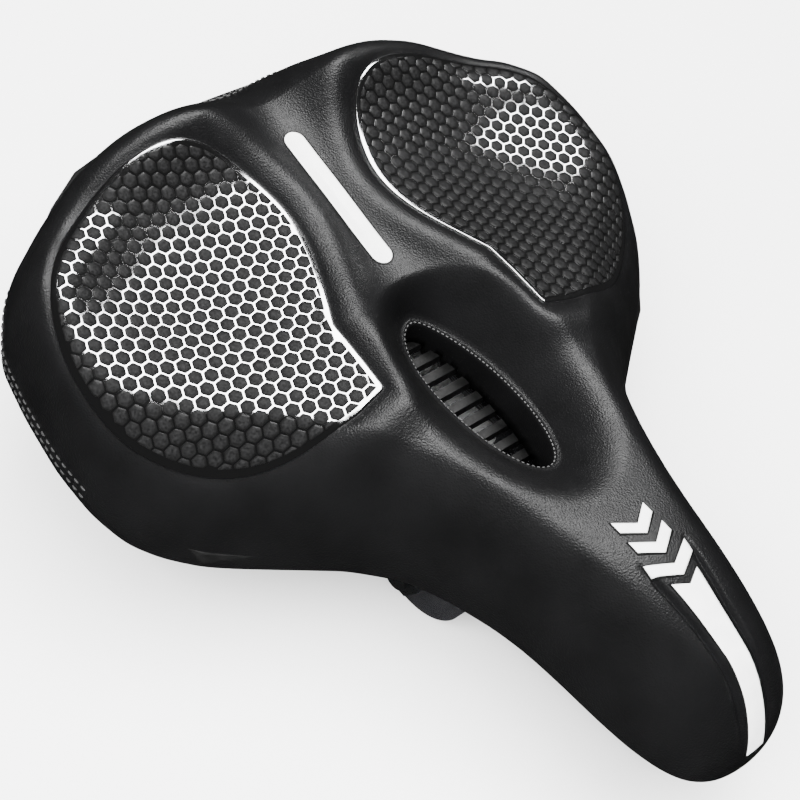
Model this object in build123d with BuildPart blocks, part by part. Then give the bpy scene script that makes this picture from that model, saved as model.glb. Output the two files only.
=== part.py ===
from build123d import *
import os

# Bicycle saddle on a single-bolt rail clamp.
# Millimetres. +X points to the nose, +Y to the rider's left, +Z up.
# The origin is the centre of the seat-post bore, level with the clamp stud.

# ---- soft top ----
# station = (x, half width, edge z, floor dome, shoulder z, middle z, shoulder radius, flare)
STATIONS = [
    (-169, 37, 42.0, 2.0, 53.0, 50.0, 4, 2),
    (-164, 56, 41.5, 4.0, 61.0, 54.0, 6, 3),
    (-156, 69, 40.0, 6.0, 68.0, 58.0, 9, 4),
    (-146, 82, 37.0, 7.0, 71.0, 61.0, 11, 5),
    (-129, 98, 31.0, 8.0, 64.0, 60.5, 12, 4),
    (-109, 104, 27.0, 8.0, 55.5, 58.0, 12, 3),
    (-89, 106.5, 23.5, 8.0, 49.5, 54.5, 12, 3),
    (-73, 106.5, 20.5, 8.0, 46.0, 53.5, 12, 3),
    (-61, 102, 18.0, 8.0, 44.0, 53.5, 12, 4),
    (-47, 90, 15.5, 8.0, 43.5, 53.5, 12, 6),
    (-32, 68, 14.5, 8.0, 44.5, 53.0, 12, 7),
    (-18, 49.5, 14.5, 8.0, 45.5, 52.0, 11, 7),
    (-2, 39.5, 14.5, 8.0, 47.0, 51.0, 10, 8),
    (18, 32.2, 14.5, 8.0, 47.5, 50.0, 10, 8),
    (40, 29.6, 14.5, 8.0, 46.0, 47.5, 10, 8),
    (57, 28, 14.5, 8.0, 40.5, 42.0, 10, 7),
    (69, 24.7, 14.0, 6.0, 35.5, 36.5, 9, 6),
    (77, 19.5, 13.0, 4.0, 28.5, 29.0, 6, 4),
    (81.5, 9, 12.0, 1.5, 20.5, 21.0, 3, 2),
]
SKIN = 1.2
HEM_WIDTH = 11
GAP = 0.3

# ---- relief hole through the soft top, and the hollow that it lies in ----
HOLE_X = (-71.5, -8.0)
HOLE_HALF_WIDTH = 12.5
HOLE_MIDDLE = ((HOLE_X[0] + HOLE_X[1]) / 2, 0)
HOLE_HALF_LENGTH = (HOLE_X[1] - HOLE_X[0]) / 2
BASIN_RIM_Z = 38.0
BASIN_TOP_Z = 56.0
BASIN_TOP_X = -37.0
BASIN_TOP_HALF_LENGTH = 45.0
BASIN_TOP_HALF_WIDTH = 27.0
HOLE_TRIM = 1.6

# ---- base shell ----
BASE_THICKNESS = 3.2
DOME_FLAT = 0.6
SLOT_PITCH = 5.8
SLOT_WIDTH = 3.0
SLOT_LENGTH = 27.0
SLOT_COUNT = 10

# ---- printed and padded areas on top ----
PATCH_MIDDLE = (-96.0, 59.0)
PATCH_TIP = (-49.0, 31.3)
PATCH_INNER = (-73.0, 30.3)
PATCH_OUTER = (-46.8, 42.0)
PATCH_CURVE = [
    (-90, 22.1),
    (-110, 16.2),
    (-127, 19.8),
    (-139, 28.2),
    (-144.4, 43.8),
    (-141.6, 60.7),
    (-132, 79.0),
    (-119.6, 91.9),
    (-105.8, 98.5),
    (-91.8, 100.5),
    (-79, 98.5),
    (-67, 91.5),
    (-54.5, 77.5),
    (-47.2, 59.6),
]
PATCH_THICKNESS = 0.8
GEL_THICKNESS = 9.0
GEL_SIZE = 0.86
LABEL_LENGTH = 49.6
LABEL_WIDTH = 6.7
LABEL_X = -109.5
MARK_THICKNESS = 0.5
CHEVRON_TIPS = [17.1, 24.2, 31.5]
CHEVRON_HALF_WIDTHS = [6.4, 6.7, 8.8]
CHEVRON_DEPTH = 4.1
CHEVRON_BAR = 3.6
STRIP_POINTS = [(42.2, 0), (39.6, 5.2), (43, 7.0), (60, 6.6), (70, 5.4), (84, 4.4)]

# ---- rails and suspension ----
RAIL_RADIUS = 3.5
RAIL_Z = 11.0
RAIL_Y = 22.0
RAIL_POINTS = [(60, 6.5), (46, 6.5), (23, RAIL_Y), (-62, RAIL_Y), (-112, 30)]
RAIL_BENDS = [18, 30, 80]
PIVOT_X = 60.0
PIVOT_RADIUS = 4.0
PIVOT_HALF_LENGTH = 15.5
SOCKET_LENGTH = 13.0
SOCKET_EAR = (11.0, 20.0)
SOCKET_TOP = 24.0
SOCKET_GAP_Z = (1.25, 18.75)
BRACKET_X = (-146.0, -103.0)
BRACKET_HALF_WIDTH = 53.0
BRACKET_THICKNESS = 3.0
BRACKET_TOP = RAIL_Z - RAIL_RADIUS
ELASTOMER_X = -128.0
ELASTOMER_Y = 36.0
ELASTOMER_RADIUS = 15.0
ELASTOMER_WAIST = 12.0
ELASTOMER_TOP = 30.5
BOLT_RADIUS = 3.0
BOLT_TOP = 37.0
BOLT_HEAD = 4.0
BOLT_FLATS = 10.0
BOLT_CLEARANCE = 1.2

# ---- post clamp ----
POST_RADIUS = 11.1
BAND_WALL = 3.2
BAND_TOP = 12.0
BAND_BOTTOM = -15.0
STUD_X = -20.0
STUD_RADIUS = 4.0
STUD_HALF_LENGTH = 38.0
RUNNING_CLEARANCE = 0.08
EAR_RADIUS = 15.0
EAR_FACE = POST_RADIUS + BAND_WALL
CHEEK_LENGTH = 34.0
CHEEK_BAR = (5.5, 15.3)
INNER_CHEEK = (EAR_FACE + GAP, 21.6)
INNER_DISC_FACE = 18.2
INNER_DISC_RADIUS = 16.0
OUTER_CHEEK = (22.4, 28.2)
OUTER_DISC_RADIUS = 19.0
WASHER_RADIUS = 8.0
WASHER_THICKNESS = 1.2
NUT_HEIGHT = 6.5
NUT_FLATS = 13.0
TRIM_LENGTH = 80.0
TRIM_DEPTH = 20.0

os.makedirs("parts", exist_ok=True)


def write(part, label):
    """Labels a finished piece and writes its STEP file."""
    part.label = label
    export_step(part, f"parts/{label}.step")


def floor_points(half, low, dome):
    """Half of the domed floor that the base shell stands on: flat in the middle, down at the rim."""
    return [(0, low + dome), (DOME_FLAT * half, low + dome), (half, low)]


def soft_section(station, inset, floor):
    """One closed section of the soft top, moved in by inset, with its floor raised by floor."""
    x, half, edge, dome, shoulder, middle, radius, flare = station
    under = floor_points(half - inset, edge + floor, dome)
    with BuildSketch(Plane.YZ.offset(x)) as section:
        with BuildLine():
            Polyline(*under)
            FilletPolyline(
                under[-1],
                (half - flare - inset, shoulder - inset),
                (0, middle - inset),
                radius=max(radius - inset, 1.5),
            )
            Line((0, middle - inset), under[0])
        make_face()
        mirror(about=Plane.YZ)
    return section.sketch


def base_section(station):
    """One section of everything below the base plate's domed upper face."""
    x, half, edge, dome = station[:4]
    over = floor_points(half - SKIN, edge + BASE_THICKNESS, dome)
    outside = half + 10
    with BuildSketch(Plane.YZ.offset(x)) as section:
        with BuildLine():
            Polyline(*over, (outside, over[-1][1]), (outside, 0), (0, 0), close=True)
        make_face()
        mirror(about=Plane.YZ)
    return section.sketch


def band_section(station, half_change, low, high):
    """One section of a flat band as wide as the soft top plus half_change, between two heights."""
    x, half, edge = station[:3]
    with BuildSketch(Plane.YZ.offset(x)) as section:
        with Locations((0, edge + (low + high) / 2)):
            Rectangle(2 * (half + half_change), high - low)
    return section.sketch


def soft_loft(inset, floor):
    """The soft top's outer shape, moved in by inset, with its floor raised by floor."""
    first = (STATIONS[0][0] + inset, *STATIONS[0][1:])
    last = (STATIONS[-1][0] - inset, *STATIONS[-1][1:])
    sections = [soft_section(s, inset, floor) for s in [first, *STATIONS[1:-1], last]]
    return loft(sections, ruled=True)


def hole_prism(margin):
    """The relief hole's column, wider than the hole by margin all round."""
    with BuildPart() as column:
        with BuildSketch(Plane.XY.offset(10)):
            with Locations(HOLE_MIDDLE):
                Ellipse(HOLE_HALF_LENGTH + margin, HOLE_HALF_WIDTH + margin)
        extrude(amount=80)
    return column.part


def basin(drop):
    """The hollow round the relief hole, an elliptic cone lowered by drop."""
    with BuildPart() as hollow:
        with BuildSketch(Plane.XY.offset(BASIN_RIM_Z - drop)):
            with Locations(HOLE_MIDDLE):
                Ellipse(HOLE_HALF_LENGTH, HOLE_HALF_WIDTH)
        with BuildSketch(Plane.XY.offset(BASIN_TOP_Z - drop)):
            with Locations((BASIN_TOP_X, 0)):
                Ellipse(BASIN_TOP_HALF_LENGTH, BASIN_TOP_HALF_WIDTH)
        loft()
    return hollow.part


def patch_prism(side, size):
    """A tall column over one seat pad, scaled about the pad's middle; side is 1 left, -1 right."""
    middle_x, middle_y = PATCH_MIDDLE

    def corner(point):
        x, y = point
        return (middle_x + size * (x - middle_x), side * (middle_y + size * (y - middle_y)))

    with BuildPart() as column:
        with BuildSketch(Plane.XY.offset(15)):
            with BuildLine():
                Spline(*[corner(p) for p in [PATCH_INNER, *PATCH_CURVE, PATCH_OUTER]])
                Polyline(*[corner(p) for p in [PATCH_OUTER, PATCH_TIP, PATCH_INNER]])
            make_face()
        extrude(amount=75)
    return column.part


def y_cylinder(x, z, radius, low, high):
    """A cylinder along Y from y = low to y = high."""
    with BuildPart() as cylinder:
        with BuildSketch(Plane.XZ.offset(-high)):
            with Locations((x, z)):
                Circle(radius)
        extrude(amount=high - low)
    return cylinder.part


def y_hexagon(x, z, flats, low, high):
    """A hexagonal bar along Y from y = low to y = high, with the given width across flats."""
    with BuildPart() as bar:
        with BuildSketch(Plane.XZ.offset(-high)):
            with Locations((x, z)):
                RegularPolygon(flats / 2, 6, major_radius=False)
        extrude(amount=high - low)
    return bar.part


def span(side, pair):
    """A (near, far) pair of distances from the middle plane as (low y, high y) on one side."""
    return tuple(sorted(side * y for y in pair))


SIDES = {"left": 1, "right": -1}

# ---- soft top: cover, foam and gel pads ----
skin_outside = soft_loft(0, -SKIN) - basin(0)
skin_inside = soft_loft(SKIN, 0) - basin(SKIN)
base_stations = [(STATIONS[0][0] - 5, *STATIONS[0][1:]), *STATIONS[1:-1]]
base_stations.append((STATIONS[-1][0] + 5, *STATIONS[-1][1:]))
below_foam = loft([base_section(s) for s in base_stations], ruled=True)
above_base = skin_inside - below_foam
mouth_sections = [
    band_section(s, -HEM_WIDTH, -4, s[3] + BASE_THICKNESS - 0.5) for s in STATIONS[:-2]
]
mouth = loft(mouth_sections, ruled=True)

with BuildPart() as cover:
    add(skin_outside)
    add(skin_inside, mode=Mode.SUBTRACT)
    add(hole_prism(SKIN) & above_base)
    add(mouth, mode=Mode.SUBTRACT)
    add(hole_prism(0), mode=Mode.SUBTRACT)
write(cover.part, "cover")

gel_slab = above_base - Pos(0, 0, -GEL_THICKNESS) * above_base
gel_pads = {name: gel_slab & patch_prism(side, GEL_SIZE) for name, side in SIDES.items()}
for name, gel_pad in gel_pads.items():
    write(gel_pad, f"gel_pad_{name}")

with BuildPart() as foam_pad:
    add(above_base)
    add(hole_prism(SKIN), mode=Mode.SUBTRACT)
    add([gel_pads["left"], gel_pads["right"]], mode=Mode.SUBTRACT)
write(foam_pad.part, "foam_pad")

# ---- base shell: domed plate with a slotted window under the hole and two elastomer seats ----
with BuildPart() as base_shell:
    add(skin_inside & below_foam)
    with BuildSketch(Plane.XY.offset(10)):
        with Locations(HOLE_MIDDLE):
            with GridLocations(SLOT_PITCH, 1, SLOT_COUNT, 1):
                SlotOverall(SLOT_LENGTH, SLOT_WIDTH, rotation=90)
    extrude(amount=30, mode=Mode.SUBTRACT)
    with BuildSketch(Plane.XY.offset(ELASTOMER_TOP)):
        with Locations(*[(ELASTOMER_X, side * ELASTOMER_Y) for side in SIDES.values()]):
            Circle(ELASTOMER_RADIUS + 1.5)
    extrude(amount=12)
    add(above_base, mode=Mode.SUBTRACT)
    with BuildSketch(Plane.XY.offset(ELASTOMER_TOP - 1)):
        with Locations(*[(ELASTOMER_X, side * ELASTOMER_Y) for side in SIDES.values()]):
            Circle(BOLT_RADIUS)
    extrude(amount=BOLT_TOP - ELASTOMER_TOP + 1, mode=Mode.SUBTRACT)
write(base_shell.part, "base_shell")

# ---- raised seam round the skirt, and welted edge of the relief hole ----
seam_band = loft([band_section(s, 5, 3.0, 4.4) for s in STATIONS], ruled=True)
with BuildPart() as edge_seam:
    add(soft_loft(-0.5, -SKIN))
    add(soft_loft(0, -SKIN), mode=Mode.SUBTRACT)
    add(seam_band, mode=Mode.INTERSECT)
write(edge_seam.part, "edge_seam")

with BuildPart() as hole_trim:
    with BuildSketch(Plane.XY.offset(BASIN_RIM_Z - HOLE_TRIM)):
        with Locations(HOLE_MIDDLE):
            Ellipse(HOLE_HALF_LENGTH, HOLE_HALF_WIDTH)
            Ellipse(HOLE_HALF_LENGTH - HOLE_TRIM, HOLE_HALF_WIDTH - HOLE_TRIM, mode=Mode.SUBTRACT)
    extrude(amount=HOLE_TRIM)
    fillet(hole_trim.edges(), HOLE_TRIM * 0.4)
write(hole_trim.part, "hole_trim")

# ---- hexagon-printed pads, middle label, chevrons and nose strip, all lying on the skin ----
skin = soft_loft(0, -SKIN)
pad_film = soft_loft(-PATCH_THICKNESS, -SKIN) - skin
mark_film = soft_loft(-MARK_THICKNESS, -SKIN) - skin

for name, side in SIDES.items():
    with BuildPart() as hex_panel:
        add(pad_film & patch_prism(side, 1))
    write(hex_panel.part, f"hex_panel_{name}")

with BuildPart() as centre_label:
    with BuildSketch(Plane.XY.offset(30)):
        with Locations((LABEL_X, 0)):
            SlotOverall(LABEL_LENGTH, LABEL_WIDTH)
    extrude(amount=60)
    add(mark_film, mode=Mode.INTERSECT)
write(centre_label.part, "centre_label")

with BuildPart() as chevron_marks:
    for tip, half in zip(CHEVRON_TIPS, CHEVRON_HALF_WIDTHS):
        with BuildSketch(Plane.XY.offset(30)):
            with BuildLine():
                Polyline(
                    (tip, half),
                    (tip + CHEVRON_BAR, half),
                    (tip + CHEVRON_BAR + CHEVRON_DEPTH, 0),
                    (tip + CHEVRON_BAR, -half),
                    (tip, -half),
                    (tip + CHEVRON_DEPTH, 0),
                    close=True,
                )
            make_face()
        extrude(amount=60)
    add(mark_film, mode=Mode.INTERSECT)
write(chevron_marks.part, "chevron_marks")

with BuildPart() as nose_strip:
    with BuildSketch(Plane.XY.offset(12)):
        with BuildLine():
            Polyline(*STRIP_POINTS, (STRIP_POINTS[-1][0], 0), close=True)
        make_face()
        mirror(about=Plane.XZ)
    extrude(amount=60)
    add(mark_film, mode=Mode.INTERSECT)
write(nose_strip.part, "nose_strip")

# ---- rails: two bent rods welded to a cross tube in front and a bracket behind ----
pivot_tube = y_cylinder(PIVOT_X, RAIL_Z, PIVOT_RADIUS, -PIVOT_HALF_LENGTH, PIVOT_HALF_LENGTH)
write(pivot_tube, "nose_cross_tube")

for name, side in SIDES.items():
    with BuildPart() as rail:
        with BuildLine(Plane.XY.offset(RAIL_Z)) as rail_line:
            FilletPolyline(*[(x, side * y) for x, y in RAIL_POINTS], radius=RAIL_BENDS)
        with BuildSketch(Plane(origin=rail_line.line @ 0, z_dir=rail_line.line % 0)):
            Circle(RAIL_RADIUS)
        sweep()
        add(pivot_tube, mode=Mode.SUBTRACT)
    write(rail.part, f"rail_{name}")

with BuildPart() as rear_bracket:
    with BuildSketch(Plane.XY.offset(BRACKET_TOP - BRACKET_THICKNESS)):
        with Locations(((BRACKET_X[0] + BRACKET_X[1]) / 2, 0)):
            RectangleRounded(BRACKET_X[1] - BRACKET_X[0], 2 * BRACKET_HALF_WIDTH, 16)
            SlotOverall(30, 12, rotation=90, mode=Mode.SUBTRACT)
    extrude(amount=BRACKET_THICKNESS)
    with BuildSketch(Plane.XY.offset(BRACKET_TOP)):
        with Locations(*[(ELASTOMER_X, side * ELASTOMER_Y) for side in SIDES.values()]):
            Circle(BOLT_RADIUS + BOLT_CLEARANCE)
    extrude(amount=-BRACKET_THICKNESS, mode=Mode.SUBTRACT)
write(rear_bracket.part, "rear_bracket")

# ---- elastomer springs: waisted rubber barrels between the bracket and the base ----
elastomer_height = ELASTOMER_TOP - GAP - BRACKET_TOP
for name, side in SIDES.items():
    with BuildPart() as elastomer:
        with BuildSketch(Plane.XZ):
            with BuildLine():
                Polyline(
                    (ELASTOMER_RADIUS - 2, 0),
                    (BOLT_RADIUS + BOLT_CLEARANCE, 0),
                    (BOLT_RADIUS + BOLT_CLEARANCE, elastomer_height),
                    (ELASTOMER_RADIUS - 2, elastomer_height),
                )
                ThreePointArc(
                    (ELASTOMER_RADIUS - 2, elastomer_height),
                    (ELASTOMER_RADIUS, elastomer_height * 0.75),
                    (ELASTOMER_WAIST, elastomer_height / 2),
                )
                ThreePointArc(
                    (ELASTOMER_WAIST, elastomer_height / 2),
                    (ELASTOMER_RADIUS, elastomer_height * 0.25),
                    (ELASTOMER_RADIUS - 2, 0),
                )
            make_face()
        revolve(axis=Axis.Z)
    place = Pos(ELASTOMER_X, side * ELASTOMER_Y, BRACKET_TOP)
    write(place * elastomer.part, f"elastomer_{name}")

with BuildPart() as elastomer_washers:
    with BuildSketch(Plane.XY.offset(BRACKET_TOP - BRACKET_THICKNESS - GAP - WASHER_THICKNESS)):
        with Locations(*[(ELASTOMER_X, side * ELASTOMER_Y) for side in SIDES.values()]):
            Circle(WASHER_RADIUS)
            Circle(BOLT_RADIUS, mode=Mode.SUBTRACT)
    extrude(amount=WASHER_THICKNESS)
write(elastomer_washers.part, "elastomer_washers")

washer_low = BRACKET_TOP - BRACKET_THICKNESS - GAP - WASHER_THICKNESS
with BuildPart() as elastomer_bolts:
    with Locations(*[(ELASTOMER_X, side * ELASTOMER_Y, washer_low) for side in SIDES.values()]):
        Cylinder(BOLT_RADIUS, BOLT_TOP - washer_low, align=(Align.CENTER, Align.CENTER, Align.MIN))
    with BuildSketch(Plane.XY.offset(washer_low - BOLT_HEAD)):
        with Locations(*[(ELASTOMER_X, side * ELASTOMER_Y) for side in SIDES.values()]):
            RegularPolygon(BOLT_FLATS / 2, 6, major_radius=False)
    extrude(amount=BOLT_HEAD)
write(elastomer_bolts.part, "elastomer_bolts")

# ---- nose socket: two ears under the base that hold the cross tube ----
with BuildPart() as nose_socket:
    with BuildSketch(Plane.XZ.offset(-SOCKET_EAR[1])):
        with Locations((PIVOT_X, RAIL_Z)):
            Circle(SOCKET_LENGTH / 2)
        with Locations((PIVOT_X, (RAIL_Z + SOCKET_TOP) / 2)):
            Rectangle(SOCKET_LENGTH, SOCKET_TOP - RAIL_Z)
    extrude(amount=2 * SOCKET_EAR[1])
    gap_low, gap_high = SOCKET_GAP_Z
    with Locations((PIVOT_X, 0, (gap_low + gap_high) / 2)):
        Box(SOCKET_LENGTH + 4, 2 * SOCKET_EAR[0], gap_high - gap_low, mode=Mode.SUBTRACT)
    bore_radius = PIVOT_RADIUS + RUNNING_CLEARANCE
    bore_half = PIVOT_HALF_LENGTH + RUNNING_CLEARANCE
    add(y_cylinder(PIVOT_X, RAIL_Z, bore_radius, -bore_half, bore_half), mode=Mode.SUBTRACT)
    add([skin_inside, cover.part], mode=Mode.SUBTRACT)
write(nose_socket.part, "nose_socket")

# ---- post clamp: strap, stud, cheeks, washers and nuts ----
with BuildPart() as clamp_band:
    with BuildSketch(Plane.XY.offset(BAND_BOTTOM)):
        Circle(EAR_FACE)
        with Locations((STUD_X - EAR_RADIUS, 0)):
            Rectangle(-STUD_X + EAR_RADIUS, 2 * EAR_FACE, align=(Align.MIN, Align.CENTER))
        Circle(POST_RADIUS, mode=Mode.SUBTRACT)
        with Locations((STUD_X - EAR_RADIUS - 1, 0)):
            Rectangle(
                -STUD_X + EAR_RADIUS + 1,
                2 * POST_RADIUS,
                align=(Align.MIN, Align.CENTER),
                mode=Mode.SUBTRACT,
            )
    extrude(amount=BAND_TOP - BAND_BOTTOM)
    with BuildSketch(Plane.XZ.offset(-EAR_FACE)):
        with Locations((STUD_X, 0)):
            Circle(EAR_RADIUS)
        with Locations((STUD_X, (BAND_TOP + BAND_BOTTOM) / 2)):
            Rectangle(TRIM_LENGTH, BAND_TOP - BAND_BOTTOM, align=(Align.MIN, Align.CENTER))
    extrude(amount=2 * EAR_FACE, mode=Mode.INTERSECT)
    ear_hole = STUD_RADIUS + RUNNING_CLEARANCE
    add(y_cylinder(STUD_X, 0, ear_hole, -EAR_FACE, EAR_FACE), mode=Mode.SUBTRACT)
write(clamp_band.part, "clamp_band")

clamp_stud = y_cylinder(STUD_X, 0, STUD_RADIUS, -STUD_HALF_LENGTH, STUD_HALF_LENGTH)
write(clamp_stud, "clamp_stud")


def cheek(side, faces, disc_faces, disc_radius):
    """A round cheek on the stud, with a grooved bar on top that holds one rail."""
    low, high = span(side, faces)
    groove = RAIL_RADIUS + RUNNING_CLEARANCE
    with BuildPart() as plate:
        add(y_cylinder(STUD_X, 0, disc_radius, *span(side, disc_faces)))
        with Locations((STUD_X, 0, CHEEK_BAR[1] + TRIM_DEPTH / 2)):
            Box(TRIM_LENGTH, TRIM_LENGTH, TRIM_DEPTH, mode=Mode.SUBTRACT)
        with Locations((STUD_X, (low + high) / 2, sum(CHEEK_BAR) / 2)):
            Box(CHEEK_LENGTH, high - low, CHEEK_BAR[1] - CHEEK_BAR[0])
        add(clamp_stud, mode=Mode.SUBTRACT)
        with BuildSketch(Plane.YZ.offset(STUD_X - TRIM_LENGTH / 2)):
            with Locations((side * RAIL_Y, RAIL_Z)):
                Circle(groove)
        extrude(amount=TRIM_LENGTH, mode=Mode.SUBTRACT)
    return plate.part


for name, side in SIDES.items():
    inner_disc = (INNER_CHEEK[0], INNER_DISC_FACE)
    inner_cheek = cheek(side, INNER_CHEEK, inner_disc, INNER_DISC_RADIUS)
    write(inner_cheek, f"inner_cheek_{name}")
    outer_cheek = cheek(side, OUTER_CHEEK, OUTER_CHEEK, OUTER_DISC_RADIUS)
    write(outer_cheek, f"outer_cheek_{name}")

washer_faces = (OUTER_CHEEK[1], OUTER_CHEEK[1] + WASHER_THICKNESS)
nut_faces = (washer_faces[1], washer_faces[1] + NUT_HEIGHT)
with BuildPart() as clamp_washers:
    for side in SIDES.values():
        add(y_cylinder(STUD_X, 0, WASHER_RADIUS, *span(side, washer_faces)))
    add(clamp_stud, mode=Mode.SUBTRACT)
write(clamp_washers.part, "clamp_washers")

with BuildPart() as clamp_nuts:
    for side in SIDES.values():
        add(y_hexagon(STUD_X, 0, NUT_FLATS, *span(side, nut_faces)))
    add(clamp_stud, mode=Mode.SUBTRACT)
write(clamp_nuts.part, "clamp_nuts")
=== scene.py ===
import math

import bmesh
import bpy
import numpy as np
from mathutils import Matrix, Vector
from mathutils.bvhtree import BVHTree


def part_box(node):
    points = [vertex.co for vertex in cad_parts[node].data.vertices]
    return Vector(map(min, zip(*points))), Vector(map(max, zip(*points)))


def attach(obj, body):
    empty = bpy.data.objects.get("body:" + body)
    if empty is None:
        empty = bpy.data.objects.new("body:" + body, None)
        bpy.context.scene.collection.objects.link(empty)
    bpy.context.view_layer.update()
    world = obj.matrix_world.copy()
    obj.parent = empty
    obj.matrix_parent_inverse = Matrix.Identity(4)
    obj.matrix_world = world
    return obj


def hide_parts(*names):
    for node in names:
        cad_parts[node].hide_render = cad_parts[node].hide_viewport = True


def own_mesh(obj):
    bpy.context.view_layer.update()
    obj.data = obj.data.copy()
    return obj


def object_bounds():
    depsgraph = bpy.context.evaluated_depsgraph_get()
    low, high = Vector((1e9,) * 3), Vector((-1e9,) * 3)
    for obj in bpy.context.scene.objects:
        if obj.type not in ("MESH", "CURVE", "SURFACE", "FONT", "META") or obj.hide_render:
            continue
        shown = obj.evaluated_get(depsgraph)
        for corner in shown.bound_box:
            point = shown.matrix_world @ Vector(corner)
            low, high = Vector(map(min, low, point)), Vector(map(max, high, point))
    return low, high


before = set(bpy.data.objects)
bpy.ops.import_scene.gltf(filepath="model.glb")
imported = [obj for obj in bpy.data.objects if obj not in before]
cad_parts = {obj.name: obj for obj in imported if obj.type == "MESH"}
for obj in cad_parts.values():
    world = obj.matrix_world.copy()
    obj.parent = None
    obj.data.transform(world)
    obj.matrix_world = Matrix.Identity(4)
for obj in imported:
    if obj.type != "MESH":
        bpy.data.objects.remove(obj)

# Bicycle saddle: the padded top, its printed pads, labels and stitches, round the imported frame.
# Shapes are worked out in millimetres and turned into metres when a mesh is made.
# +X points to the nose, +Y to the rider's left, +Z up.
CAD_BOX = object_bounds()
MM = 0.001

# ---- soft top: half outline of its lowest edge, rear middle to nose middle: x, y, z ----
OUTLINE = [
    (-169.4, 0, 46), (-170, 12, 45.2), (-170.4, 24, 44.2), (-168.8, 36, 43), (-164.2, 49.2, 42.4),
    (-157, 64, 40.3), (-146.8, 81.2, 35), (-137.6, 94.4, 29.6), (-124.2, 103.2, 25.8),
    (-107.4, 106.2, 23.8), (-89.1, 107.6, 21), (-74.3, 106.3, 18), (-62.7, 102.6, 15.6),
    (-54.5, 96.7, 14.4), (-46.6, 88.8, 13.8), (-40.7, 80.5, 13.6), (-31.5, 67.4, 14),
    (-24, 56.8, 14.5), (-13.2, 45.6, 14.5), (-2.9, 39.9, 14.5), (4.6, 36.8, 14.5),
    (14.6, 33.4, 14.5), (25, 31.2, 14.5), (36.1, 30, 14.5), (50.7, 28.8, 14.5),
    (60.8, 27.4, 14.4), (69.8, 24.7, 14), (76.2, 20.6, 13), (80.4, 14.2, 12), (82.2, 7, 11.6),
    (82.7, 0, 11.5),
]
# points round the outline and in every ring of the cover
AROUND = 720
OUTLINE_ROUNDING, SHOULDER_ROUNDING, ROLL_ROUNDING = 3.0, 11.0, 14.0
# the rolled edge, along the outline from the rear middle: distance, width in plan, fullness
# (a fullness of 1 is a quarter ellipse, less is squarer and 2 is a straight slope)
ROLL = [
    (0, 22, 1.6), (35, 26, 1.4), (70, 26, 1.22), (100, 22, 1.03), (135, 14.5, 0.7), (160, 15, 0.7),
    (180, 24, 1.2), (205, 28, 1.5), (235, 25, 1.25), (262, 19, 0.95), (290, 17, 0.9),
    (315, 18, 1.0), (345, 19, 1.15), (372, 18, 1.15),
]

# heights of the top's surface along x, on five lines at these distances from the middle
GUIDE_Y = [0, 20, 40, 60, 95]
GUIDES = [
    [(-172, 58), (-160, 60.5), (-150, 61.8), (-134, 60.9), (-114, 57.1), (-94, 53.1), (-80, 51),
     (-34, 50.5), (8, 49.3), (28, 49.8), (36, 49.2), (53, 44.8), (64, 41), (74, 36.8), (84, 32)],
    [(-172, 64), (-160, 68), (-152, 70), (-144, 69.5), (-134, 64.2), (-124, 59.7), (-114, 56.9),
     (-94, 54.7), (-64, 54), (-44, 52.4), (-14, 51), (6, 49.5), (28, 47.7), (53, 42), (84, 30)],
    [(-172, 64), (-160, 69), (-152, 71.5), (-144, 70.8), (-134, 63.4), (-124, 58.2), (-114, 54.8),
     (-94, 52), (-64, 51.6), (-44, 49.6), (-34, 48.4), (0, 44), (84, 25)],
    [(-172, 63), (-160, 68.5), (-152, 71.2), (-144, 70.4), (-134, 62.9), (-124, 57.3), (-114, 53.5),
     (-94, 50), (-64, 49), (-44, 46.5), (-34, 44), (0, 40), (84, 20)],
    [(-172, 66), (-144, 67), (-124, 63.3), (-114, 59.2), (-104, 55.6), (-94, 52.8), (-84, 50),
     (-74, 46), (-54, 42), (-34, 38), (84, 20)],
]
# weights of the heights at these steps across the saddle, for softening
ACROSS_TAPS = [(-10, 1), (-5, 2), (0, 3), (5, 2), (10, 1)]

# rings of the cover: close ones up to a height by the seam, even ones over the roll and the top
CLOSE_RINGS_TO, CLOSE_RING_STEP = 9.0, 0.35
ROLL_RINGS, TOP_RINGS = 36, 96

# ---- the seam low on the rolled edge, and the stitches ----
SEAM_HEIGHT, SEAM_DEPTH, SEAM_WIDTH = 4.6, 0.55, 0.55
SEAM_END_X, SEAM_FADE = -78.0, 18.0
SKIRT_ROWS = (3.0, 6.4)
SKIRT_PITCH, SKIRT_STITCH_LENGTH, SKIRT_STITCH_WIDTH, SKIRT_LIFT = 2.7, 1.9, 0.62, 0.12
HOLE_PITCH, HOLE_STITCH_LENGTH, HOLE_STITCH_WIDTH = 1.5, 1.05, 0.42
STITCH_RINGS, STITCH_SIDES, STITCH_PULL = 7, 6, 0.5

# ---- the cover's hidden lining and its hem under the base shell ----
HEM_WIDTH, HEM_THICKNESS, HEM_END, HEM_CORNER = 11.0, 1.1, 0.5, 0.35
RIM_INSET, LINING_INSET = 2.2, 0.9
CLEAR = 0.2
BASE_TOP_Z = 25.7
ABOVE_ALL_Z, BELOW_ALL_Z = 80.0, -50.0

# ---- relief hole and the hollow round it ----
HOLE_MIDDLE_X = -39.75
HOLE_HALF = (29.8, 10.2)
HOLLOW_MIDDLE_X = -34.5
HOLLOW_HALF = (44.5, 31)
HOLLOW_FULLNESS = 0.55
RIM_Z = [(-71.5, 35.0), (-8, 39.0)]
LIP = 2.2
LIP_DROP = LIP * 0.8

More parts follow.
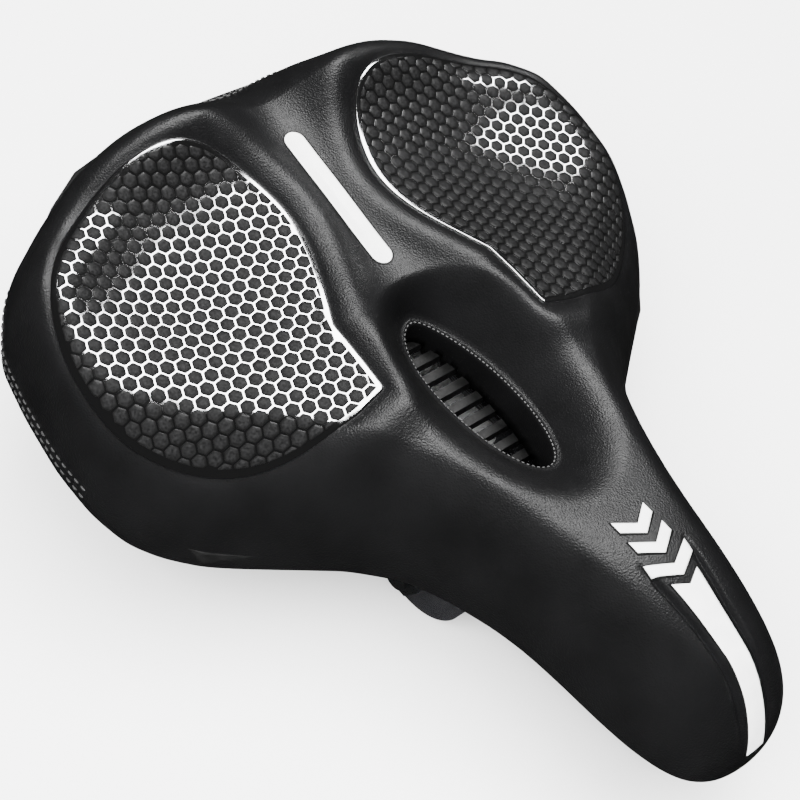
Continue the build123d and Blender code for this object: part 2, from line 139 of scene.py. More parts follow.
# ---- hexagon-printed pads ----
PATCH_MIDDLE = (-96.0, 59.0)
PATCH_TIP = (-49.0, 31.3)
PATCH_CURVE = [
    (-73, 30.3), (-90, 22.1), (-110, 17), (-127, 21), (-138, 29), (-142.6, 44),
    (-140.4, 60.7), (-132, 79), (-119.6, 91.9), (-105.8, 98.5), (-91.8, 100.5), (-79, 98.5),
    (-67, 91.5), (-54.5, 77.5), (-47.2, 59.6), (-46.8, 42),
]
PATCH_POINTS, PATCH_ROUNDING, PATCH_REACH = 260, 0.7, 75.0
BORDER_DEPTH, BORDER_WIDTH = 0.5, 1.3
RIDGE_HEIGHT, RIDGE_DISTANCE, RIDGE_WIDTH = 2.5, 7.0, 6.5
FILM_LIFT, FILM_EDGE_DROP, FILM_BORDER, FILM_RINGS = 0.14, 0.1, 1.7, 56
# the flat pattern: directions, reach in plan, longest step along the surface
FLAT_TURNS, FLAT_REACH, FLAT_STEP = 96, 64, 2.2
CELL_PITCH, CELL_GAP, CELL_LIFT = 4.5, 0.55, 0.42
CELL_TURN = math.radians(-10)
CELL_ROWS, CELL_COLUMNS, CELL_REACH = 18, 20, 62
CELL_SMALLEST_AREA, CELL_CORNER = 1.2, 0.13
# rings of one cell from its foot to near its middle: share of its outline, lift
CELL_FOOT = -0.1
CELL_RINGS = [
    (1.0, CELL_FOOT), (1.0, CELL_LIFT - 0.16), (0.95, CELL_LIFT - 0.05), (0.77, CELL_LIFT - 0.08),
    (0.70, CELL_LIFT + 0.02), (0.35, CELL_LIFT + 0.03),
]
CELL_INK_BANDS = 3

# ---- labels ----
LABEL_X, LABEL_LENGTH, LABEL_WIDTH = -109.5, 49.6, 6.7
CHEVRON_STARTS = [17.1, 24.2, 31.5]
CHEVRON_HALF_WIDTHS = [6.4, 6.7, 8.2]
CHEVRON_BAR, CHEVRON_DEPTH = 3.6, 4.1
STRIP_START, STRIP_NOTCH, STRIP_END_GAP = 39.6, 2.6, 6.0
STRIP_HALF_WIDTH = [(39, 5.2), (45, 4.6), (51, 4.1), (63, 3.5), (76, 3.3), (110, 3.4)]
STRIP_CREASE = [(30, 9.0), (37, 8.2), (45, 7.2), (52, 6.3), (68, 5.7), (90, 5.5)]
CREASE_START_X, CREASE_FADE, CREASE_DEPTH, CREASE_WIDTH = 30, 8, 1.3, 0.95
PRINT_LIFT = 0.32
OUTLINE_MARGIN = 0.5
# how far the hidden side of a film or a print lies under the cover's surface
SUNK = -0.3

# ---- rubber springs: shares of the radius, then of the height, then the bore in mm ----
SPRING_BODY, SPRING_WAIST, SPRING_RING, SPRING_CORNER = 0.95, 0.10, 0.05, 0.12
SPRING_CORNER_HEIGHT = 0.05
SPRING_BORE = 4.2
SPRING_LEVELS, SPRING_SIDES = 60, 64

# ---- camera, floor and lights: metres and degrees, lens and sensor in millimetres ----
CAMERA_PLACE = (0.118195, -0.262951, 0.379550)
CAMERA_AZIMUTH, CAMERA_ELEVATION, CAMERA_ROLL = 34.85, 49.14, 18.87
CAMERA_LENS, CAMERA_SENSOR = 72, 36
FLOOR_SIZE, FLOOR_DROP, FLOOR_LINES = 12.0, 0.0005, 9
LIGHT_AIM = (-0.04, 0, 0.05)
WORLD_STRENGTH = 0.02


# =============================== small geometry helpers ===============================
def spline(knots, at):
    """Natural cubic spline through (x, value) knots, going on straight outside them."""
    xs, ys = np.array(knots, float).T
    h = np.diff(xs)
    count = len(xs)
    system = np.eye(count)
    right = np.zeros(count)
    for i in range(1, count - 1):
        system[i, i - 1:i + 2] = h[i - 1], 2 * (h[i - 1] + h[i]), h[i]
        right[i] = 6 * ((ys[i + 1] - ys[i]) / h[i] - (ys[i] - ys[i - 1]) / h[i - 1])
    bend = np.linalg.solve(system, right)
    at = np.asarray(at, float)
    inside = np.clip(at, xs[0], xs[-1])
    i = np.clip(np.searchsorted(xs, inside) - 1, 0, count - 2)
    a, b, w = xs[i + 1] - inside, inside - xs[i], h[i]
    value = (bend[i] * a**3 + bend[i + 1] * b**3) / (6 * w)
    value += (ys[i] / w - bend[i] * w / 6) * a + (ys[i + 1] / w - bend[i + 1] * w / 6) * b
    slope = (bend[i + 1] * b**2 - bend[i] * a**2) / (2 * w)
    slope += (ys[i + 1] - ys[i]) / w - (bend[i + 1] - bend[i]) * w / 6
    return value + slope * (at - inside)


def line_at(points, at):
    """Straight-line interpolation through (x, value) points."""
    xs, ys = np.array(points, float).T
    return np.interp(at, xs, ys)


def even_loop(points, count):
    """count points at even distances round a closed loop, the first where the loop starts."""
    loop = np.vstack([points, points[:1]])
    along = np.r_[0, np.cumsum(np.linalg.norm(np.diff(loop[:, :2], axis=0), axis=1))]
    at = np.linspace(0, along[-1], count, endpoint=False)
    return np.stack([np.interp(at, along, loop[:, k]) for k in range(loop.shape[1])], 1)


def rounded(loop, width):
    """A closed loop of evenly spaced points, smoothed by a Gaussian of that width in mm."""
    step = np.linalg.norm(loop[1, :2] - loop[0, :2])
    frequency = np.fft.fftfreq(len(loop), step)
    keep = np.exp(-2 * (math.pi * width * frequency) ** 2)
    return np.fft.ifft(np.fft.fft(loop, axis=0) * keep[:, None], axis=0).real


def inward(loop):
    """Unit vectors in plan that point into a loop that runs clockwise seen from above."""
    run = np.roll(loop[:, :2], -1, 0) - np.roll(loop[:, :2], 1, 0)
    run /= np.linalg.norm(run, axis=1)[:, None]
    normal = np.stack([run[:, 1], -run[:, 0]], 1)
    middle = loop[:, :2].mean(0)
    turn = np.sign(np.sum(normal * (middle - loop[:, :2])))
    return normal * turn


def distance_in(loop, x, y):
    """Distance in plan to a closed loop, negative inside it."""
    a = loop[:, :2]
    b = np.roll(a, -1, 0)
    run = b - a
    result = np.empty(len(x))
    chunk = 4000
    for low in range(0, len(x), chunk):
        part = slice(low, low + chunk)
        p = np.stack([x[part], y[part]], 1)[:, None]
        t = np.clip(np.sum((p - a) * run, 2) / np.sum(run * run, 1), 0, 1)
        near = np.linalg.norm(p - a - t[..., None] * run, axis=2).min(1)
        above = (a[:, 1] > p[..., 1]) != (b[:, 1] > p[..., 1])
        rise = np.where(above, b[:, 1] - a[:, 1], 1)
        left = p[..., 0] < a[:, 0] + (p[..., 1] - a[:, 1]) * run[:, 0] / rise
        inside = (np.sum(above & left, 1) % 2) == 1
        result[part] = np.where(inside, -near, near)
    return result


def unit(vectors):
    return vectors / np.linalg.norm(vectors, axis=-1)[..., None]


# =============================== meshes ===============================
def make_mesh(name, points, faces, material):
    """A mesh object from points in millimetres."""
    mesh = bpy.data.meshes.new(name)
    mesh.from_pydata((np.asarray(points) * MM).tolist(), [], faces)
    mesh.validate()
    mesh.polygons.foreach_set("use_smooth", [True] * len(mesh.polygons))
    mesh.materials.append(material)
    mesh.update()
    piece = bpy.data.objects.new(name, mesh)
    bpy.context.scene.collection.objects.link(piece)
    return piece


def grid_faces(rows, columns, close_rows=False, close_columns=False, start=0):
    """Quads between the points of a grid stored row by row."""
    faces = []
    for r in range(rows if close_rows else rows - 1):
        for c in range(columns if close_columns else columns - 1):
            r2, c2 = (r + 1) % rows, (c + 1) % columns
            corners = (r * columns + c, r * columns + c2, r2 * columns + c2, r2 * columns + c)
            faces.append(tuple(start + i for i in corners))
    return faces


def slab(top, bottom):
    """Points and faces of a closed plate between two grids of points of the same shape."""
    rows, columns = top.shape[:2]
    count = rows * columns
    faces = [f[::-1] for f in grid_faces(rows, columns)]
    faces += [tuple(count + i for i in f[::-1]) for f in faces]
    edge = list(range(columns))
    edge += [r * columns + columns - 1 for r in range(1, rows)]
    edge += [(rows - 1) * columns + c for c in range(columns - 2, -1, -1)]
    edge += [r * columns for r in range(rows - 2, 0, -1)]
    for i, a in enumerate(edge):
        b = edge[(i + 1) % len(edge)]
        faces.append((a, b, count + b, count + a))
    return np.vstack([top.reshape(-1, 3), bottom.reshape(-1, 3)]), faces


def join_parts(parts):
    """One list of points and faces from several."""
    points, faces, start = [], [], 0
    for part_points, part_faces in parts:
        points.append(part_points)
        faces += [tuple(start + i for i in f) for f in part_faces]
        start += len(part_points)
    return np.vstack(points), faces


def facing_out(piece):
    """Turns a closed mesh's faces outward."""
    editable = bmesh.new()
    editable.from_mesh(piece.data)
    bmesh.ops.recalc_face_normals(editable, faces=editable.faces)
    editable.to_mesh(piece.data)
    editable.free()
    return piece


# =============================== materials ===============================
def new_material(name, color, roughness, metallic=0.0, specular=0.5, coat=0.0, coat_roughness=0.1):
    """A Principled material, with its node tree and shader."""
    material = bpy.data.materials.new(name)
    material.use_nodes = True
    tree = material.node_tree
    shader = tree.nodes["Principled BSDF"]
    shader.inputs["Base Color"].default_value = (*color, 1)
    shader.inputs["Roughness"].default_value = roughness
    shader.inputs["Metallic"].default_value = metallic
    shader.inputs["Specular IOR Level"].default_value = specular
    shader.inputs["Coat Weight"].default_value = coat
    shader.inputs["Coat Roughness"].default_value = coat_roughness
    return material, tree, shader


def noise(tree, scale, detail=3.0, stretch=(1, 1, 1)):
    """A noise texture in object coordinates; scale is in waves per metre."""
    place = tree.nodes.new("ShaderNodeTexCoord")
    mapping = tree.nodes.new("ShaderNodeMapping")
    mapping.inputs["Scale"].default_value = stretch
    texture = tree.nodes.new("ShaderNodeTexNoise")
    texture.inputs["Scale"].default_value = scale
    texture.inputs["Detail"].default_value = detail
    tree.links.new(place.outputs["Object"], mapping.inputs["Vector"])
    tree.links.new(mapping.outputs["Vector"], texture.inputs["Vector"])
    return texture.outputs["Fac"]


def cells(tree, scale, feature="F1"):
    """A cell texture in object coordinates; scale is in cells per metre."""
    place = tree.nodes.new("ShaderNodeTexCoord")
    texture = tree.nodes.new("ShaderNodeTexVoronoi")
    texture.feature = feature
    texture.inputs["Scale"].default_value = scale
    tree.links.new(place.outputs["Object"], texture.inputs["Vector"])
    return texture.outputs["Distance"]


def ramp(tree, value, low, high, from_low=0.3, from_high=0.7):
    """value, from from_low to from_high, spread over low to high."""
    node = tree.nodes.new("ShaderNodeMapRange")
    node.inputs["From Min"].default_value = from_low
    node.inputs["From Max"].default_value = from_high
    node.inputs["To Min"].default_value = low
    node.inputs["To Max"].default_value = high
    tree.links.new(value, node.inputs["Value"])
    return node.outputs["Result"]


def blend_colors(tree, value, first, second, low=0.3, high=0.7):
    """A colour between first and second, by a texture's value."""
    node = tree.nodes.new("ShaderNodeValToRGB")
    node.color_ramp.elements[0].position = low
    node.color_ramp.elements[1].position = high
    node.color_ramp.elements[0].color = (*first, 1)
    node.color_ramp.elements[1].color = (*second, 1)
    tree.links.new(value, node.inputs["Fac"])
    return node.outputs["Color"]


def add_bump(tree, shader, heights, strength, distance):
    """Bump from the sum of (value, weight) pairs; distance is in metres."""
    total = None
    for value, weight in heights:
        node = tree.nodes.new("ShaderNodeMath")
        node.operation = "MULTIPLY_ADD"
        node.inputs[1].default_value = weight
        node.inputs[2].default_value = 0.0
        tree.links.new(value, node.inputs[0])
        if total is not None:
            tree.links.new(total, node.inputs[2])
        total = node.outputs["Value"]
    bump = tree.nodes.new("ShaderNodeBump")
    bump.inputs["Strength"].default_value = strength
    bump.inputs["Distance"].default_value = distance
    tree.links.new(total, bump.inputs["Height"])
    tree.links.new(bump.outputs["Normal"], shader.inputs["Normal"])


def leather_material():
    material, tree, shader = new_material("leather", (0.003, 0.003, 0.0031), 0.38, specular=0.42)
    tone = blend_colors(tree, noise(tree, 60, 4), (0.0022, 0.0022, 0.0023), (0.0034, 0.0034, 0.0036))
    tree.links.new(tone, shader.inputs["Base Color"])
    wear = ramp(tree, noise(tree, 140, 5), 0.33, 0.43)
    tree.links.new(wear, shader.inputs["Roughness"])
    pebble = cells(tree, 1700)
    crack = cells(tree, 1200, "DISTANCE_TO_EDGE")
    grain = noise(tree, 3200, 2)
    add_bump(tree, shader, [(pebble, 0.5), (crack, 0.7), (grain, 0.3)], strength=0.6, distance=0.0002)
    return material


def foil_material():
    material, tree, shader = new_material("foil", (0.78, 0.78, 0.79), 0.1, metallic=1.0)
    tree.links.new(ramp(tree, noise(tree, 900, 3), 0.07, 0.13), shader.inputs["Roughness"])
    add_bump(tree, shader, [(noise(tree, 260, 2), 1.0)], strength=0.25, distance=0.00012)
    return material


def cell_material():
    material, tree, shader = new_material("hex_cells", (0.006, 0.006, 0.006), 0.5, specular=0.13)
    tone = blend_colors(tree, noise(tree, 1500, 4), (0.002, 0.002, 0.002), (0.009, 0.009, 0.0092))
    tree.links.new(tone, shader.inputs["Base Color"])
    tree.links.new(ramp(tree, noise(tree, 700, 3), 0.42, 0.6), shader.inputs["Roughness"])
    add_bump(tree, shader, [(noise(tree, 3200, 3), 1.0)], strength=0.4, distance=0.0001)
    return material


def print_material():
    material, tree, shader = new_material("white_print", (0.86, 0.86, 0.85), 0.35)
    tone = blend_colors(tree, noise(tree, 200, 4), (0.80, 0.80, 0.80), (0.90, 0.90, 0.89))
    tree.links.new(tone, shader.inputs["Base Color"])
    add_bump(tree, shader, [(noise(tree, 1800, 3), 1.0)], strength=0.2, distance=0.00006)
    return material


def plain_material(name, first, second, roughness, grain, bump=0.3, **more):
    """A moulded or painted finish: two close tones, uneven gloss and a fine relief."""
    material, tree, shader = new_material(name, first, roughness, **more)
    tone = blend_colors(tree, noise(tree, grain * 0.3, 4), first, second)
    tree.links.new(tone, shader.inputs["Base Color"])
    spread = ramp(tree, noise(tree, grain * 0.5, 3), roughness * 0.8, roughness * 1.2)
    tree.links.new(spread, shader.inputs["Roughness"])
    add_bump(tree, shader, [(noise(tree, grain, 3), 1.0)], strength=bump, distance=0.0001)
    return material


def steel_material(name, color, roughness, stretch):
    """Drawn steel with fine lines along one axis."""
    material, tree, shader = new_material(name, color, roughness, metallic=1.0)
    lines = noise(tree, 1500, 4, stretch)
    tone = blend_colors(tree, lines, tuple(c * 0.85 for c in color), color)
    tree.links.new(tone, shader.inputs["Base Color"])
    tree.links.new(ramp(tree, lines, roughness * 0.75, roughness * 1.3), shader.inputs["Roughness"])
    add_bump(tree, shader, [(lines, 1.0)], strength=0.25, distance=0.00004)
    return material


def thread_material(name, first, second):
    """Twisted thread: fine diagonal plies."""
    material, tree, shader = new_material(name, first, 0.55)
    place = tree.nodes.new("ShaderNodeTexCoord")
    plies = tree.nodes.new("ShaderNodeTexWave")
    plies.inputs["Scale"].default_value = 900
    plies.inputs["Distortion"].default_value = 1.5
    tree.links.new(place.outputs["Object"], plies.inputs["Vector"])
    tone = blend_colors(tree, plies.outputs["Fac"], first, second)
    tree.links.new(tone, shader.inputs["Base Color"])
    add_bump(tree, shader, [(plies.outputs["Fac"], 1.0)], strength=0.5, distance=0.0001)
    return material


LEATHER = leather_material()
FOIL = foil_material()
CELL = cell_material()
WHITE = print_material()
INK = plain_material(
    "ink_outline", (0.003, 0.003, 0.003), (0.006, 0.006, 0.006), roughness=0.35, grain=900, specular=0.2
)
THREAD = thread_material("black_thread", (0.01, 0.01, 0.01), (0.05, 0.05, 0.05))
GREY_THREAD = thread_material("grey_thread", (0.02, 0.02, 0.02), (0.09, 0.09, 0.09))
# Black moulded plastic of the base shell and nose socket. Its colour is made darker than the plastic's
# own black, as painted shade on the ribs seen through the relief hole.
PLASTIC_WITH_PAINTED_SHADE = plain_material(
    "moulded_plastic_with_painted_shade", (0.003, 0.003, 0.003), (0.006, 0.006, 0.006),
    roughness=0.5, grain=1400, bump=0.45, specular=0.25
)
RUBBER = plain_material(
    "rubber", (0.018, 0.018, 0.018), (0.035, 0.035, 0.034), roughness=0.62, grain=900, bump=0.4
)
POWDER = plain_material(
    "powder_coat", (0.018, 0.018, 0.019), (0.03, 0.03, 0.031), roughness=0.38, grain=2200, bump=0.5
)
GLOSS = plain_material(
    "electro_coat", (0.008, 0.008, 0.009), (0.013, 0.013, 0.014),
    roughness=0.2, grain=700, bump=0.15, coat=0.8, coat_roughness=0.05
)
STEEL = steel_material("drawn_steel", (0.62, 0.63, 0.65), roughness=0.28, stretch=(0.04, 1, 1))
ZINC = steel_material("zinc_plate", (0.66, 0.68, 0.70), roughness=0.32, stretch=(1, 0.1, 1))


# =============================== camera, floor and lights ===============================
def make_camera():
    data = bpy.data.cameras.new("camera")
    data.lens = CAMERA_LENS
    data.sensor_width = CAMERA_SENSOR
    camera = bpy.data.objects.new("camera", data)
    turn = Matrix.Rotation(math.radians(CAMERA_AZIMUTH), 4, "Z")
    tilt = Matrix.Rotation(math.radians(90 - CAMERA_ELEVATION), 4, "X")
    roll = Matrix.Rotation(math.radians(CAMERA_ROLL), 4, "Z")
    camera.matrix_world = Matrix.Translation(CAMERA_PLACE) @ turn @ tilt @ roll
    bpy.context.scene.collection.objects.link(camera)
    bpy.context.scene.camera = camera


def make_floor():
    height = CAD_BOX[0].z - FLOOR_DROP
    steps = np.linspace(-FLOOR_SIZE / 2, FLOOR_SIZE / 2, FLOOR_LINES) / MM
    x, y = np.meshgrid(steps, steps)
    points = np.stack([x, y, np.full_like(x, height / MM)], 2).reshape(-1, 3)
    material = plain_material(
        "floor", (0.9, 0.9, 0.9), (0.92, 0.92, 0.92), roughness=0.9, grain=3, bump=0.0, specular=0.0
    )
    floor = make_mesh("floor", points, grid_faces(FLOOR_LINES, FLOOR_LINES), material)
    floor.visible_glossy = False


def area_light(name, azimuth, elevation, distance, width, height, power, seen_in_gloss=True):
    """A softbox that faces the object; azimuth runs from +X towards +Y."""
    data = bpy.data.lights.new(name, "AREA")
    data.shape = "RECTANGLE"
    data.size, data.size_y = width, height
    data.energy = power
    light = bpy.data.objects.new(name, data)
    a, e = math.radians(azimuth), math.radians(elevation)
    way = Vector((math.cos(a) * math.cos(e), math.sin(a) * math.cos(e), math.sin(e)))
    light.location = Vector(LIGHT_AIM) + way * distance
    light.rotation_mode = "QUATERNION"
    light.rotation_quaternion = way.to_track_quat("Z", "Y")
    light.visible_glossy = seen_in_gloss
    bpy.context.scene.collection.objects.link(light)


def make_lights():
    world = bpy.data.worlds.new("studio")
    bpy.context.scene.world = world
    world.use_nodes = True
    background = world.node_tree.nodes["Background"]
    background.inputs["Color"].default_value = (1, 1, 1, 1)
    background.inputs["Strength"].default_value = WORLD_STRENGTH
    area_light("key", azimuth=128, elevation=63, distance=1.3, width=0.80, height=0.56, power=20)
    area_light(
        "wash", azimuth=0, elevation=88, distance=1.8, width=2.6, height=2.6, power=215,
        seen_in_gloss=False
    )
    area_light(
        "near_wash", azimuth=-80, elevation=42, distance=1.9, width=2.2, height=1.2, power=150,
        seen_in_gloss=False
    )


# =============================== the soft top's surface ===============================
half = np.array(OUTLINE, float)
mirrored = half[-2:0:-1] * (1, -1, 1)
EDGE = rounded(even_loop(np.vstack([half, mirrored]), AROUND), OUTLINE_ROUNDING)
SMOOTH_EDGE = rounded(EDGE, SHOULDER_ROUNDING)
INWARD = inward(SMOOTH_EDGE)
NOSE = AROUND // 2


def round_outline(values):
    """Values given along the half outline, spread over the whole outline's points."""
    steps = np.linalg.norm(np.diff(np.vstack([EDGE, EDGE[:1]])[:, :2], axis=0), axis=1)
    along = np.r_[0, np.cumsum(steps)[:-1]]
    return line_at(values, np.minimum(along, steps.sum() - along))


def roll_value(column):
    """One column of the ROLL table, smoothly round the outline."""
    values = round_outline([(row[0], row[column]) for row in ROLL])
    return rounded(np.c_[EDGE[:, :2], values], ROLL_ROUNDING)[:, 2]


ROLL_WIDTH = roll_value(1)
ROLL_POWER = roll_value(2)
SHOULDER = SMOOTH_EDGE[:, :2] + INWARD * ROLL_WIDTH[:, None]


def patch_outline(side):
    """The pad's closed outline, even points; side is 1 on the rider's left, -1 on the right."""
    curve = np.array(PATCH_CURVE, float)
    along = np.r_[0, np.cumsum(np.linalg.norm(np.diff(curve, axis=0), axis=1))]
    at = np.linspace(0, along[-1], 200)
    smooth = np.stack([spline(list(zip(along, curve[:, k])), at) for k in (0, 1)], 1)
    loop = even_loop(np.vstack([smooth, [PATCH_TIP]]), PATCH_POINTS)
    return rounded(loop, PATCH_ROUNDING) * (1, side)


PATCHES = {"left": patch_outline(1), "right": patch_outline(-1)}


def guide_height(x, y):
    """The top's height from the guides, softened across them, before its ridges and hollow."""
    total = sum(weight for _, weight in ACROSS_TAPS)
    return sum(weight * sharp_height(x, y + step) for step, weight in ACROSS_TAPS) / total


def sharp_height(x, y):
    """The height between the two nearest guides; never past either."""
    at = np.array([spline(knots, x) for knots in GUIDES])
    lines = np.array(GUIDE_Y, float)
    rise = np.diff(at, axis=0) / np.diff(lines)[:, None]
    slope = np.zeros_like(at)
    same = rise[:-1] * rise[1:] > 0
    total = np.where(same, rise[:-1] + rise[1:], 1)
    slope[1:-1] = np.where(same, 2 * rise[:-1] * rise[1:] / total, 0)
    slope[-1] = rise[-1]
    across = np.abs(y)
    i = np.clip(np.searchsorted(lines, across) - 1, 0, len(lines) - 2)
    point = np.arange(len(x))
    width = lines[i + 1] - lines[i]
    t = np.clip((across - lines[i]) / width, 0, 1)
    low, high = at[i, point], at[i + 1, point]
    height = low * (1 + 2 * t) * (1 - t) ** 2 + high * t**2 * (3 - 2 * t)
    height += width * (slope[i, point] * t * (1 - t) ** 2 - slope[i + 1, point] * t**2 * (1 - t))
    return height + slope[-1] * np.maximum(across - lines[-1], 0)


def hollow_share(x, y):
    """0 on the relief hole's rim, 1 on the crest of the hollow round it, and in between."""
    low, high = np.zeros(len(x)), np.full(len(x), 1.5)
    halvings = 24
    for _ in range(halvings):
        share = (low + high) / 2
        middle = HOLE_MIDDLE_X + share * (HOLLOW_MIDDLE_X - HOLE_MIDDLE_X)
        a = HOLE_HALF[0] + share * (HOLLOW_HALF[0] - HOLE_HALF[0])
        b = HOLE_HALF[1] + share * (HOLLOW_HALF[1] - HOLE_HALF[1])
        outside = ((x - middle) / a) ** 2 + (y / b) ** 2 > 1
        low, high = np.where(outside, share, low), np.where(outside, high, share)
    return np.clip((low + high) / 2, 0, 1)


def top_height(x, y):
    """The padded top's height over a point in plan, away from the rolled edge."""
    height = guide_height(x, y)
    for loop in PATCHES.values():
        near = (np.abs(x - PATCH_MIDDLE[0]) < PATCH_REACH) & (y * loop[:, 1].mean() > 0)
        q = distance_in(loop, x[near], y[near])
        ridge = np.exp(-(((q - RIDGE_DISTANCE) / RIDGE_WIDTH) ** 2))
        height[near] += RIDGE_HEIGHT * ridge
        height[near] -= BORDER_DEPTH * np.exp(-((q / BORDER_WIDTH) ** 2))
    share = hollow_share(x, y)
    fall = (1 - share) ** 2 * (1 + HOLLOW_FULLNESS * share)
    height -= (height - line_at(RIM_Z, x)) * fall
    depth = CREASE_DEPTH * np.clip((x - CREASE_START_X) / CREASE_FADE, 0, 1)
    off_crease = np.abs(y) - line_at(STRIP_CREASE, x)
    height -= depth * np.exp(-((off_crease / CREASE_WIDTH) ** 2))
    return height


def hole_ring(grow):
    """The relief hole's ellipse, grown by some mm: even points, in the outline's order."""
    t = 2 * math.pi * np.arange(AROUND) / AROUND
    a, b = HOLE_HALF[0] + grow, HOLE_HALF[1] + grow
    fine = np.linspace(0, 2 * math.pi, 2000)
    x, y = HOLE_MIDDLE_X - a * np.cos(fine), b * np.sin(fine)
    along = np.r_[0, np.cumsum(np.hypot(np.diff(x), np.diff(y)))]
    at = along[-1] * t / (2 * math.pi)
    return np.stack([np.interp(at, along, x), np.interp(at, along, y)], 1)


EDGE_TOP = top_height(EDGE[:, 0], EDGE[:, 1])
ROLL_HEIGHT = EDGE_TOP - EDGE[:, 2]


def roll_angle(height):
    """The roll's angle at that height over its lowest edge, all round."""
    return np.arcsin(np.clip(height / ROLL_HEIGHT, 0, 1) ** (1 / ROLL_POWER))


def roll_ring(angle):
    """One ring of the rolled edge: angle 0 is its lowest edge, a right angle its shoulder."""
    out = 1 - np.cos(angle) ** ROLL_POWER
    up = np.sin(angle) ** ROLL_POWER
    plan = EDGE[:, :2] + (SHOULDER - EDGE[:, :2]) * out[:, None]
    height = top_height(plan[:, 0], plan[:, 1]) - ROLL_HEIGHT * (1 - up)
    above = height - EDGE[:, 2]
    seam = np.clip((SEAM_END_X - EDGE[:, 0]) / SEAM_FADE, 0, 1)
    groove = SEAM_DEPTH * seam * np.exp(-(((above - SEAM_HEIGHT) / SEAM_WIDTH) ** 2))
    return np.c_[plan + INWARD * groove[:, None], height]


def roll_rings():
    """The rolled edge, with close rings by the seam and even ones above it."""
    heights = np.arange(0, CLOSE_RINGS_TO, CLOSE_RING_STEP)
    rings = [roll_ring(roll_angle(height)) for height in heights]
    last = roll_angle(heights[-1])
    for share in np.linspace(0, 1, ROLL_RINGS)[1:]:
        rings.append(roll_ring(last + (math.pi / 2 - last) * share))
    return rings


def top_rings():
    """From the shoulder in to the rim of the relief hole."""
    rim = hole_ring(LIP)
    rings = []
    for share in np.linspace(0, 1, TOP_RINGS)[1:]:
        plan = SHOULDER + (rim - SHOULDER) * share
        rings.append(np.c_[plan, top_height(plan[:, 0], plan[:, 1])])
    return rings


def cast(tree, plan, start_z, direction_z, fallback):
    """Heights where vertical rays meet a surface; fallback where they miss."""
    result = np.array(fallback, float)
    for i, (x, y) in enumerate(plan):
        hit = tree.ray_cast(Vector((x * MM, y * MM, start_z * MM)), Vector((0, 0, direction_z)))
        if hit[0] is not None:
            result[i] = hit[0].z / MM
    return result


def ray_tree(piece):
    """A piece's mesh, ready for rays."""
    mesh = piece.data
    return BVHTree.FromPolygons([v.co for v in mesh.vertices], [p.vertices for p in mesh.polygons])


def hidden_rings(rim_height):
    """Down the hole's wall, out over the base shell, round its rim and under it as a hem."""
    base = ray_tree(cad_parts["base_shell"])
    rings = []
    rim = hole_ring(LIP)
    wall = hole_ring(0.0)
    for turn in np.radians([22, 45, 67, 90]):
        plan = rim + (wall - rim) * math.sin(turn)
        rings.append(np.c_[plan, rim_height - LIP_DROP * (1 - math.cos(turn))])
    low = cast(base, hole_ring(1.5), ABOVE_ALL_Z, -1, np.full(AROUND, BASE_TOP_Z)) + CLEAR
    height = rim_height - LIP_DROP
    for share in (0.3, 0.65, 1.0):
        rings.append(np.c_[wall, height + (low - height) * share])
    under_rim = EDGE[:, :2] + INWARD * RIM_INSET
    for share in (0.15, 0.35, 0.55, 0.75, 0.9, 1.0):
        plan = wall + (under_rim - wall) * share
        missed = BASE_TOP_Z if share < 0.5 else EDGE[:, 2] + 3.2
        height = cast(base, plan, ABOVE_ALL_Z, -1, np.broadcast_to(missed, AROUND)) + CLEAR
        rings.append(np.c_[plan, height])
    beside_rim = EDGE[:, :2] + INWARD * LINING_INSET
    rings += [np.c_[beside_rim, EDGE[:, 2] + rise] for rise in (3.0, 0.2)]
    hem = []
    for inset in (RIM_INSET, 5.0, 8.0, HEM_WIDTH):
        plan = EDGE[:, :2] + INWARD * inset
        hem.append(np.c_[plan, cast(base, plan, BELOW_ALL_Z, 1, EDGE[:, 2]) - CLEAR])
    rings += hem
    lower = [ring - (0, 0, HEM_THICKNESS) for ring in hem]
    end = (hem[-1] + lower[-1]) / 2
    end[:, :2] += INWARD * HEM_END
    rings.append(end)
    rings += lower[::-1]
    corner = (lower[0] + roll_ring(0.0)) / 2 - (0, 0, HEM_CORNER)
    corner[:, :2] -= INWARD * HEM_CORNER
    rings.append(corner)
    return rings


def make_cover():
    rings = roll_rings() + top_rings()
    rings += hidden_rings(rings[-1][:, 2])
    points = np.array(rings)
    faces = grid_faces(len(rings), AROUND, close_rows=True, close_columns=True)
    cover = make_mesh("cushion_cover", points.reshape(-1, 3), faces, LEATHER)
    facing_out(cover)
    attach(cover, "saddle_top")
    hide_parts("cover", "foam_pad", "gel_pad_left", "gel_pad_right")
    return cover


COVER = make_cover()
SURFACE = ray_tree(COVER)


def drape(points, ways, lift):
    """Points moved along their ways onto the cover, then off it by lift along its normal."""
    result = np.empty_like(points)
    normals = np.empty_like(points)
    for i, (p, way) in enumerate(zip(points, ways)):
        hit = SURFACE.ray_cast(Vector(p * MM), Vector(way))
        if hit[0] is None:
            hit = SURFACE.find_nearest(Vector(p * MM))
        result[i] = np.array(hit[0]) / MM
        normals[i] = hit[1]
    return result + normals * np.broadcast_to(lift, len(points))[:, None], normals


def drape_plan(x, y, lift):
    """Points over a place in plan, lifted off the cover's surface."""
    high = 100.0
    start = np.stack([x, y, np.full_like(x, high)], 1)
    return drape(start, np.broadcast_to((0.0, 0.0, -1.0), start.shape), lift)[0]


